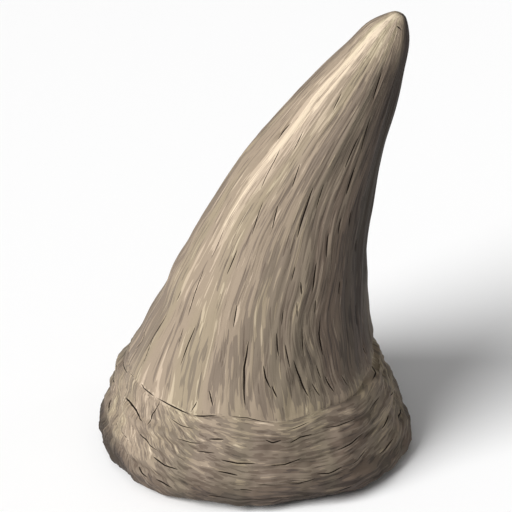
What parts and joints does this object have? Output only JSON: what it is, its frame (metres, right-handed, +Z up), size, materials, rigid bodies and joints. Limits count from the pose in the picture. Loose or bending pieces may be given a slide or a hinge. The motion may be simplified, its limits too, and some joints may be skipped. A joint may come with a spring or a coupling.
{
  "type": "rhinoceros horn",
  "caption": "Stout, blunt horn of grown keratin that curves to one side from a rough, flared and wrinkled root, and stands on the flat rim of that root.",
  "frame": {"origin": "middle of the object's box, on the surface that it stands on", "axes": "+Z up along the horn's height, +X towards the side that the tip leans to"},
  "size_m": [0.1934, 0.182, 0.2868],
  "materials": {
    "keratin": "matt, fibrous and cracked"
  },
  "bodies": {
    "root": {"horn": "keratin"}
  },
  "joints": []
}
